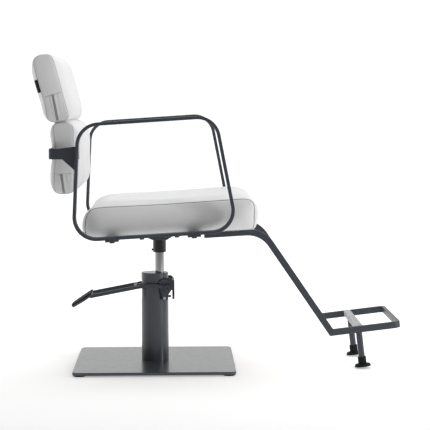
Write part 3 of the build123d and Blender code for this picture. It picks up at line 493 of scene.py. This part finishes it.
def rested(name, x, z):
    """A cushion point kept off the strap behind it, or off the bars below the seat."""
    if name == "lower_back_cushion":
        away = max(STRAP_BAND[0] - z, z - STRAP_BAND[1], 0)
        x = max(x, STRAP_FRONT + STRAP_GAP - STRAP_BULGE * away)
    if name == "seat_cushion":
        z = max(z, SEAT_BOTTOM + SEAT_SLOPE * x)
    return x, z


def is_held(name, x, y, z):
    """True where a cushion lies against what carries it."""
    if abs(y) > CUSHION_HALF_WIDTH - HELD_MARGIN:
        return False
    if name == "lower_back_cushion":
        return x < STRAP_FRONT + HELD_AT_STRAP and STRAP_BAND[0] < z < STRAP_BAND[1]
    return name == "seat_cushion" and z < SEAT_BOTTOM + HELD_ON_BARS + SEAT_SLOPE * x


def add_end_panel(mesh, end, ring, side, puff):
    """Close one end of the wrap with a panel that domes outwards from its seam."""
    low_x = min(p.x for p in ring)
    high_x = max(p.x for p in ring)
    low_z = min(p.y for p in ring)
    high_z = max(p.y for p in ring)
    points = list(ring)
    for i in range(int((high_x - low_x) / SPACING) + 1):
        for j in range(int((high_z - low_z) / SPACING) + 1):
            stagger = 0.5 * (j % 2)
            place = Vector((low_x + (i + stagger) * SPACING, low_z + (j + 0.5) * SPACING))
            if min((place - p).length for p in ring) > PANEL_CLEAR * SPACING:
                points.append(place)
    border = [(i, (i + 1) % len(ring)) for i in range(len(ring))]
    flat, _, faces, origins, _, _ = delaunay_2d_cdt(points, border, [], 1, 0.001)
    corners = []
    for place, origin in zip(flat, origins):
        first = origin[0] if origin else len(ring)
        if first < len(ring):
            corners.append(end[first])
            continue
        depth = min(1, min((place - p).length for p in ring) / PUFF_REACH)
        y = side * (CUSHION_HALF_WIDTH + puff * math.sin(depth * math.pi / 2))
        corners.append(mesh.verts.new((place.x * MM, y * MM, place.y * MM)))
    for face in faces:
        mesh.faces.new([corners[i] for i in face])


def cushion_start(name, shape):
    """Crowned closed form: a wrap between two seam rings and a puffed panel at each end.

    crown holds how far the middle stands beyond the seams at the front, rear, top and bottom.
    """
    ring = resample(smooth_outline(shape["outline"]), SPACING)
    crown = shape["crown"]
    mesh = bmesh.new()
    rows = []
    for y in cross_places():
        row = []
        for point, normal in zip(ring, outward(ring)):
            lift = crown["front"] * max(normal.x, 0) ** 2 + crown["rear"] * max(-normal.x, 0) ** 2
            lift += crown["top"] * max(normal.y, 0) ** 2 + crown["bottom"] * max(-normal.y, 0) ** 2
            place = point + normal * lift * edge_rise(y)
            x, z = rested(name, place.x, place.y)
            row.append(mesh.verts.new((x * MM, y * MM, z * MM)))
        rows.append(row)
    for end, side in ((rows[0], -1), (rows[-1], 1)):
        add_end_panel(mesh, end, ring, side, shape["puff"])
    for low, high in zip(rows, rows[1:]):
        for i in range(len(ring)):
            following = (i + 1) % len(ring)
            mesh.faces.new((low[i], low[following], high[following], high[i]))
    bmesh.ops.recalc_face_normals(mesh, faces=mesh.faces)
    data = bpy.data.meshes.new(name + "_leather")
    mesh.to_mesh(data)
    mesh.free()
    cushion = bpy.data.objects.new(name + "_leather", data)
    bpy.context.scene.collection.objects.link(cushion)
    seams = {}
    for side_name, side in SIDES.items():
        seams[side_name] = [Vector((p.x * MM, side * CUSHION_HALF_WIDTH * MM, p.y * MM)) for p in ring]
    return cushion, seams


def swell(cushion, name, seams, cap):
    """Cloth under pressure between the pinned seams, moved at most cap from where it started."""
    seam_points = [point for seam in seams.values() for point in seam]
    group = cushion.vertex_groups.new(name="held")
    for vertex in cushion.data.vertices:
        on_seam = min((vertex.co - point).length for point in seam_points) < PIN_REACH * MM
        if on_seam or is_held(name, *(vertex.co / MM)):
            group.add([vertex.index], 1.0, "REPLACE")
    started = [v.co.copy() for v in cushion.data.vertices]
    cloth = cushion.modifiers.new("cloth", "CLOTH")
    settings = cloth.settings
    settings.quality = 6
    settings.mass = 0.4
    settings.tension_stiffness = 12
    settings.compression_stiffness = 12
    settings.bending_stiffness = 0.6
    settings.vertex_group_mass = "held"
    settings.use_pressure = True
    settings.uniform_pressure_force = 4
    settings.effector_weights.gravity = 0
    cloth.point_cache.frame_end = CLOTH_FRAMES
    for step in range(1, CLOTH_FRAMES + 1):
        bpy.context.scene.frame_set(step)
    shaped = cushion.evaluated_get(bpy.context.evaluated_depsgraph_get())
    swollen = [v.co.copy() for v in shaped.to_mesh().vertices]
    shaped.to_mesh_clear()
    cushion.modifiers.remove(cloth)
    bpy.context.scene.frame_set(1)
    for vertex, place, first in zip(cushion.data.vertices, swollen, started):
        move = place - first
        if move.length > cap * MM:
            move = move.normalized() * cap * MM
        x, z = rested(name, (first.x + move.x) / MM, (first.z + move.z) / MM)
        vertex.co = (x * MM, first.y + move.y, z * MM)
    cushion.data.update()


def even_and_smooth(piece):
    """Even out the free leather, then smooth the mesh for good with subdivision."""
    even = piece.modifiers.new("even", "SMOOTH")
    even.factor = 0.5
    even.iterations = EVEN_ROUNDS
    even.vertex_group = "held"
    even.invert_vertex_group = True
    smoother = piece.modifiers.new("smooth", "SUBSURF")
    smoother.levels = SMOOTH_LEVELS
    smoother.render_levels = SMOOTH_LEVELS
    shaped = piece.evaluated_get(bpy.context.evaluated_depsgraph_get())
    data = bpy.data.meshes.new_from_object(shaped)
    piece.modifiers.clear()
    piece.data = data
    for face in data.polygons:
        face.use_smooth = True


def dense(points, steps):
    """A closed line of points with more points along each leg."""
    result = []
    for first, second in zip(points, points[1:] + points[:1]):
        result += [first.lerp(second, k / steps) for k in range(steps)]
    return result


def press_seams(cushion, seams):
    """Draw the leather in along its seams, as the stitching does."""
    seam_points = [point for seam in seams.values() for point in dense(seam, 8)]
    tree = KDTree(len(seam_points))
    for index, point in enumerate(seam_points):
        tree.insert(point, index)
    tree.balance()
    moves = []
    for vertex in cushion.data.vertices:
        near = tree.find(vertex.co)[2] / MM
        depth = SEAM_DEPTH * math.exp(-((near / SEAM_REACH) ** 2))
        moves.append(vertex.normal * depth * MM)
    for vertex, move in zip(cushion.data.vertices, moves):
        vertex.co -= move
    cushion.data.update()


# Each back cushion's end panel has a seam across it, and a zip with pleats beside it below that seam.
CROSS_SEAMS = {
    "lower_back_cushion": [(-270, 557), (-205, 558)],
    "upper_back_cushion": [(-300, 759), (-222, 781)],
}
ZIPS = {
    "lower_back_cushion": [(-245, 557), (-241, 530), (-238, 506)],
    "upper_back_cushion": [(-266, 769), (-259, 735), (-253, 700)],
}
PLEAT_PITCH = 11
PLEAT_HEIGHT = 1.5
PLEAT_START = 6
PLEAT_FADE = 45
TUCK_DEPTH = 1.6
TUCK_REACH = 3
PANEL_EDGE = 3


def pleated(name, x, z):
    """How far the end panel stands out or in at a side-view point, from its cross seam and pleats."""
    (rear_x, rear_z), (front_x, front_z) = CROSS_SEAMS[name]
    seam_z = rear_z + (front_z - rear_z) * (x - rear_x) / (front_x - rear_x)
    below = seam_z - z
    tuck = -TUCK_DEPTH * math.exp(-((below / TUCK_REACH) ** 2))
    if below <= 0:
        return tuck
    (top_x, top_z), (foot_x, foot_z) = ZIPS[name][0], ZIPS[name][-1]
    zip_x = top_x + (foot_x - top_x) * (top_z - z) / (top_z - foot_z)
    swing = math.cos(2 * math.pi * abs(x - zip_x) / PLEAT_PITCH)
    return tuck - PLEAT_HEIGHT * swing * min(1, below / PLEAT_START) * math.exp(-below / PLEAT_FADE)


def pleat_panels(cushion, name):
    """Shape the cross seam and the pleats into both end panels."""
    for vertex in cushion.data.vertices:
        side = 1 if vertex.co.y > 0 else -1
        inside = min(1, max(0, (side * vertex.co.y / MM - CUSHION_HALF_WIDTH) / PANEL_EDGE))
        if inside:
            vertex.co.y += side * inside * pleated(name, vertex.co.x / MM, vertex.co.z / MM) * MM
    cushion.data.update()


def tube(name, points, radius, finish, closed=False):
    """A thin round line of thread or wire along the points."""
    data = bpy.data.curves.new(name, "CURVE")
    data.dimensions = "3D"
    data.bevel_depth = radius * MM
    data.bevel_resolution = 2
    spline = data.splines.new("POLY")
    spline.points.add(len(points) - 1)
    for target, point in zip(spline.points, points):
        target.co = (*point, 1)
    spline.use_cyclic_u = closed
    piece = bpy.data.objects.new(name, data)
    bpy.context.scene.collection.objects.link(piece)
    piece.data.materials.append(finish)
    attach(piece, SEAT)


CLEAR_OF_CUSHIONS = 400


class Surface:
    """Finds places on a finished cushion."""

    def __init__(self, cushion):
        corners = [v.co.copy() for v in cushion.data.vertices]
        faces = [tuple(f.vertices) for f in cushion.data.polygons]
        self.tree = BVHTree.FromPolygons(corners, faces)

    def nearest(self, place, lift):
        """The surface next to a place, lifted outwards in millimetres."""
        found, normal, _, _ = self.tree.find_nearest(place)
        return found + normal * lift * MM

    def beside(self, side, x, z, lift):
        """The surface seen from one side at x and z in millimetres, lifted outwards.

        Where the cushion isn't in the way, it is the plane of the seams.
        """
        start = Vector((x * MM, side * CLEAR_OF_CUSHIONS * MM, z * MM))
        found, normal, _, _ = self.tree.ray_cast(start, Vector((0, -side, 0)))
        if found:
            return found + normal * lift * MM
        return Vector((x * MM, side * CUSHION_HALF_WIDTH * MM, z * MM))

    def line(self, side, points, lift, steps=8):
        """Surface points along a side-view polyline."""
        result = []
        for (ax, az), (bx, bz) in zip(points, points[1:]):
            for k in range(steps):
                share = k / steps
                result.append(self.beside(side, ax + (bx - ax) * share, az + (bz - az) * share, lift))
        result.append(self.beside(side, *points[-1], lift))
        return result


def build_cushions(finishes):
    """All three cushions with their seams; returns a surface finder for each."""
    surfaces = {}
    for name, shape in CUSHIONS.items():
        cushion, seams = cushion_start(name, shape)
        swell(cushion, name, seams, shape["cap"])
        even_and_smooth(cushion)
        press_seams(cushion, seams)
        if name in CROSS_SEAMS:
            pleat_panels(cushion, name)
        cushion.data.materials.clear()
        cushion.data.materials.append(finishes["upholstery"])
        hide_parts(name)
        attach(cushion, SEAT)
        surfaces[name] = Surface(cushion)
        for side_name, seam in seams.items():
            line = [surfaces[name].nearest(point, THREAD_LIFT) for point in dense(seam, 4)]
            finish = finishes[shape["thread_finish"]]
            tube(f"{name}_seam_{side_name}", line, shape["thread"], finish, closed=True)
    return surfaces


CROSS_SEAM_SPAN = (0.1, 0.84)
CROSS_SEAM_RADIUS = 0.5
ZIP_EDGES = {"rear": -2.2, "front": 2.2}
ZIP_EDGE_RADIUS = 0.8
ZIP_COIL_RADIUS = 1.4
DETAIL_LIFT = 0.1


def add_side_details(surfaces, finishes):
    """The thread of the cross seams and the zips on the end panels of the back cushions."""
    for name, ((rear_x, rear_z), (front_x, front_z)) in CROSS_SEAMS.items():
        ends = [
            (rear_x + (front_x - rear_x) * share, rear_z + (front_z - rear_z) * share)
            for share in CROSS_SEAM_SPAN
        ]
        found = surfaces[name]
        for side_name, side in SIDES.items():
            seam = found.line(side, ends, DETAIL_LIFT)
            tube(
                f"{name}_cross_seam_{side_name}", seam, CROSS_SEAM_RADIUS, finishes["pale_thread"]
            )
            for edge, shift in ZIP_EDGES.items():
                path = [(x + shift, z) for x, z in ZIPS[name]]
                tape = found.line(side, path, DETAIL_LIFT)
                tube(f"{name}_zip_{edge}_{side_name}", tape, ZIP_EDGE_RADIUS, finishes["zip_tape"])
            coil = found.line(side, ZIPS[name], DETAIL_LIFT)
            tube(f"{name}_zip_coil_{side_name}", coil, ZIP_COIL_RADIUS, finishes["pale_thread"])


TAB_CORNER = (-315, 806)
TAB_ALONG = (9, -33)
TAB_ACROSS = (10, 2.5)
TAB_COLUMNS = 5
TAB_ROWS = 9
TAB_LIFT = 1.0
TAB_THICKNESS = 1.0


def add_label_tab(surfaces, finishes):
    """Blank woven tab lying on the near end panel, sewn into its rear seam."""
    mesh = bpy.data.meshes.new("label_tab_cloth")
    corners = []
    for i in range(TAB_ROWS):
        for j in range(TAB_COLUMNS):
            down = i / (TAB_ROWS - 1)
            across = j / (TAB_COLUMNS - 1)
            x = TAB_CORNER[0] + TAB_ALONG[0] * down + TAB_ACROSS[0] * across
            z = TAB_CORNER[1] + TAB_ALONG[1] * down + TAB_ACROSS[1] * across
            corners.append(surfaces["upper_back_cushion"].beside(SIDES["right"], x, z, TAB_LIFT))
    faces = []
    for i in range(TAB_ROWS - 1):
        for j in range(TAB_COLUMNS - 1):
            first = i * TAB_COLUMNS + j
            faces.append((first, first + 1, first + 1 + TAB_COLUMNS, first + TAB_COLUMNS))
    mesh.from_pydata(corners, [], faces)
    tab = bpy.data.objects.new("label_tab_cloth", mesh)
    bpy.context.scene.collection.objects.link(tab)
    thick = tab.modifiers.new("thick", "SOLIDIFY")
    thick.thickness = TAB_THICKNESS * MM
    thick.offset = 0
    tab.data.materials.append(finishes["label"])
    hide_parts("label_tab")
    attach(tab, SEAT)


# ---------------------------------------------------------------- springs inside the pump
# The body that each spring pushes on, and the axis that it shortens along.
SPRINGS = {"plunger_spring": ("plunger", 2), "release_spring": ("release_pin_body", 0)}


def add_springs(finishes):
    """Steel copies of the coils, put in place of the CAD springs; the end that the moving piece pushes on is
    worked out, but nothing makes the coils shorten.
    """
    for name, (moving, axis) in SPRINGS.items():
        node = frame["nodes"][name]
        spring = bpy.data.objects.new(name + "_coil", node.data.copy())
        bpy.context.scene.collection.objects.link(spring)
        spring.matrix_world = node.matrix_world
        spring.data.materials.clear()
        spring.data.materials.append(finishes["plain_steel"])
        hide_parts(name)
        fixed_end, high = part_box(name)
        moving_end = Vector(fixed_end)
        moving_end[axis] = high[axis]
        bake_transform(spring)


# ---------------------------------------------------------------- the scene
add_camera()
add_world()
for light_name, light in LIGHTS.items():
    add_area_light(light_name, **light)
add_floor()
bpy.context.scene.view_settings.view_transform = "Standard"
materials = finish_materials()
dress_nodes(materials)
cushions = build_cushions(materials)
add_side_details(cushions, materials)
add_label_tab(cushions, materials)
add_springs(materials)
